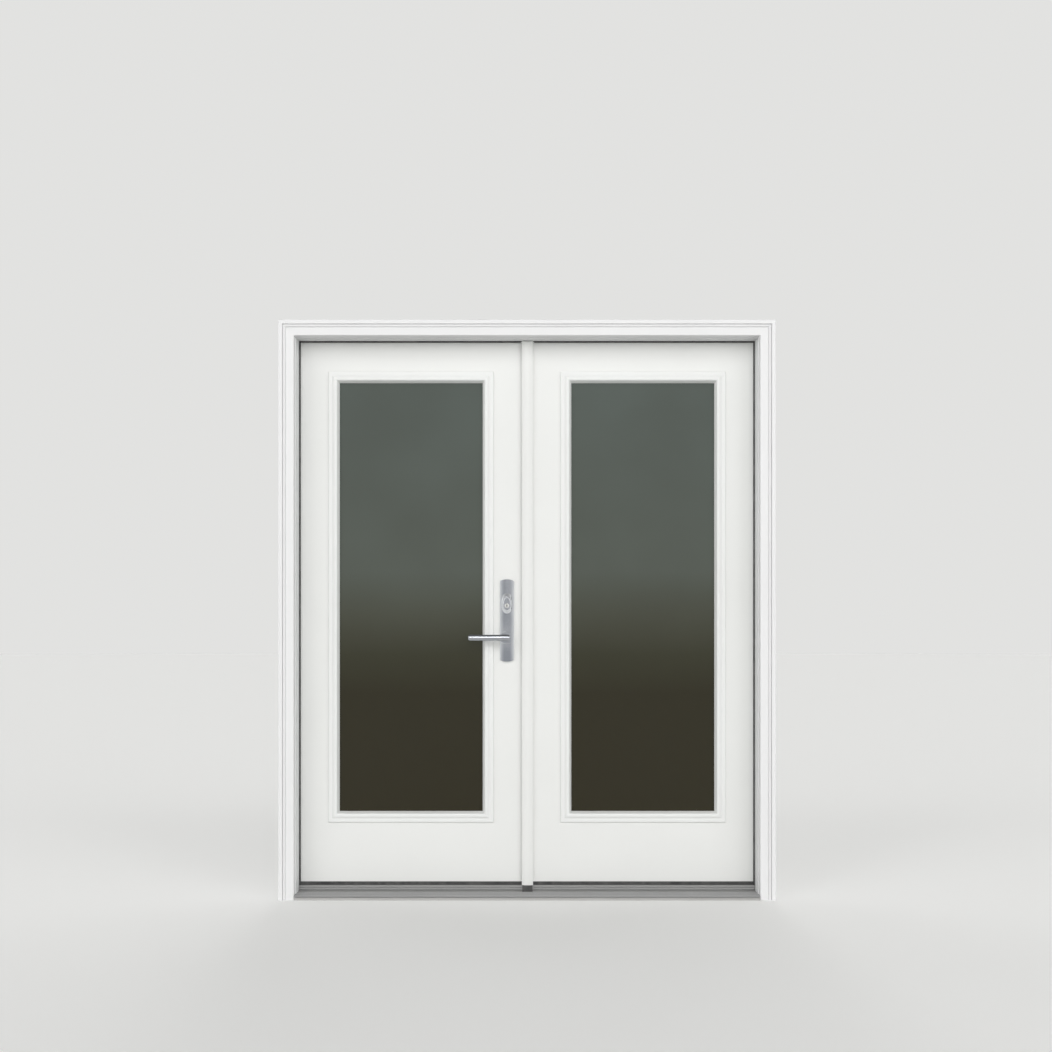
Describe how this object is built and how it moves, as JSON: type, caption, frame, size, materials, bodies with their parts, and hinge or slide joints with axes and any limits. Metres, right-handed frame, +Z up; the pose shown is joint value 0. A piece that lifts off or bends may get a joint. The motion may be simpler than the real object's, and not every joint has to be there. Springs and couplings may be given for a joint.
{
  "type": "french doors",
  "caption": "Pair of inward-opening glazed doors in a frame with outside moulding, ribbed sill, astragal, long handle plate and lever.",
  "frame": {"origin": "on the underside of the sill, midway between the leaves, at the outer edge of the jambs, where the moulding's back meets the wall's outer face", "axes": "+X to the right as seen from outside, +Y into the house, +Z up"},
  "size_m": [1.8198, 0.2045, 2.1233],
  "materials": {
    "slab_white": "smooth white satin paint",
    "frame_white": "white satin paint",
    "moulding_white": "white satin",
    "lite_white": "white satin",
    "seal_dark": "dark matt foam and rubber",
    "sill_metal": "mill aluminium, ribbed",
    "sill_core": "light composite",
    "cap_grey": "grey anodised",
    "satin_nickel": "satin nickel",
    "lock_steel": "plain steel",
    "tinted_glass": "dark grey-green reflective",
    "spacer_metal": "satin"
  },
  "bodies": {
    "frame": {"left_jamb": "frame_white", "right_jamb": "frame_white", "head_jamb": "frame_white", "left_brickmould": "moulding_white", "right_brickmould": "moulding_white", "head_brickmould": "moulding_white", "left_weatherstrip": "seal_dark", "right_weatherstrip": "seal_dark", "head_weatherstrip": "seal_dark", "sill_deck": "sill_metal", "sill_substrate": "sill_core", "sill_cap": "cap_grey", "astragal_sill_pad": "seal_dark", "flush_bolt_strikes": "lock_steel", "hinge_pins": "satin_nickel", "left_frame_hinge_leaf_top": "satin_nickel", "left_frame_hinge_leaf_middle": "satin_nickel", "left_frame_hinge_leaf_bottom": "satin_nickel", "right_frame_hinge_leaf_top": "satin_nickel", "right_frame_hinge_leaf_middle": "satin_nickel", "right_frame_hinge_leaf_bottom": "satin_nickel"},
    "active_leaf": {"active_slab": "slab_white", "active_lite_frame_outside": "lite_white", "active_lite_frame_inside": "lite_white", "active_pane_outside": "tinted_glass", "active_pane_inside": "tinted_glass", "active_glass_spacer": "spacer_metal", "active_sweep": "seal_dark", "lock_case": "lock_steel", "lock_faceplate": "lock_steel", "bolt_boxes": "lock_steel", "outside_escutcheon": "satin_nickel", "inside_escutcheon": "satin_nickel", "lock_cylinder": "satin_nickel", "left_door_hinge_leaf_top": "satin_nickel", "left_door_hinge_leaf_middle": "satin_nickel", "left_door_hinge_leaf_bottom": "satin_nickel"},
    "inactive_leaf": {"inactive_slab": "slab_white", "inactive_lite_frame_outside": "lite_white", "inactive_lite_frame_inside": "lite_white", "inactive_pane_outside": "tinted_glass", "inactive_pane_inside": "tinted_glass", "inactive_glass_spacer": "spacer_metal", "inactive_sweep": "seal_dark", "astragal": "slab_white", "astragal_weatherstrip": "seal_dark", "lock_strikes": "lock_steel", "right_door_hinge_leaf_top": "satin_nickel", "right_door_hinge_leaf_middle": "satin_nickel", "right_door_hinge_leaf_bottom": "satin_nickel"},
    "levers": {"outside_lever": "satin_nickel", "inside_lever": "satin_nickel", "lever_spindle": "lock_steel"},
    "latch": {"latch_bolt": "lock_steel"},
    "locking_pair": {"locking_bolts": "lock_steel"},
    "turn": {"cylinder_plug": "satin_nickel", "thumbturn": "satin_nickel"},
    "deadbolt_body": {"deadbolt": "lock_steel"},
    "top_bolt": {"top_flush_bolt": "lock_steel"},
    "bottom_bolt": {"bottom_flush_bolt": "lock_steel"}
  },
  "joints": [
    {"name": "active_leaf_hinge", "type": "hinge", "parent": "frame", "child": "active_leaf", "pos_m": [-0.8581, 0.1232, 1], "axis": [0, 0, 1], "range_deg": [0, 110]},
    {"name": "inactive_leaf_hinge", "type": "hinge", "parent": "frame", "child": "inactive_leaf", "pos_m": [0.8581, 0.1232, 1], "axis": [0, 0, 1], "range_deg": [-110, 0]},
    {"name": "lever_turn", "type": "hinge", "parent": "active_leaf", "child": "levers", "pos_m": [-0.0745, 0.09375, 0.96], "axis": [0, 1, 0], "range_deg": [-35, 45], "stiffness_Nm_per_rad": 4, "springref_deg": 6.88},
    {"name": "latch_slide", "type": "slide", "parent": "active_leaf", "child": "latch", "axis": [1, 0, 0], "range_m": [-0.0094, 0.012]},
    {"name": "locking_bolt_slide", "type": "slide", "parent": "active_leaf", "child": "locking_pair", "axis": [1, 0, 0], "range_m": [-0.0156, 0.02]},
    {"name": "thumbturn_turn", "type": "hinge", "parent": "active_leaf", "child": "turn", "pos_m": [-0.0745, 0.09375, 1.079], "axis": [0, 1, 0], "range_deg": [0, 90]},
    {"name": "deadbolt_slide", "type": "slide", "parent": "active_leaf", "child": "deadbolt_body", "axis": [1, 0, 0], "range_m": [0, 0.025]},
    {"name": "top_bolt_slide", "type": "slide", "parent": "inactive_leaf", "child": "top_bolt", "axis": [0, 0, 1], "range_m": [0, 0.016]},
    {"name": "bottom_bolt_slide", "type": "slide", "parent": "inactive_leaf", "child": "bottom_bolt", "axis": [0, 0, -1], "range_m": [0, 0.016]}
  ],
  "couplings": [
    {"joint": "inactive_leaf_hinge", "follows": "active_leaf_hinge", "ratio": -0.9},
    {"joint": "latch_slide", "follows": "lever_turn", "m_per_rad": 0.0152},
    {"joint": "locking_bolt_slide", "follows": "lever_turn", "m_per_rad": 0.0254},
    {"joint": "deadbolt_slide", "follows": "thumbturn_turn", "m_per_rad": 0.0159}
  ]
}
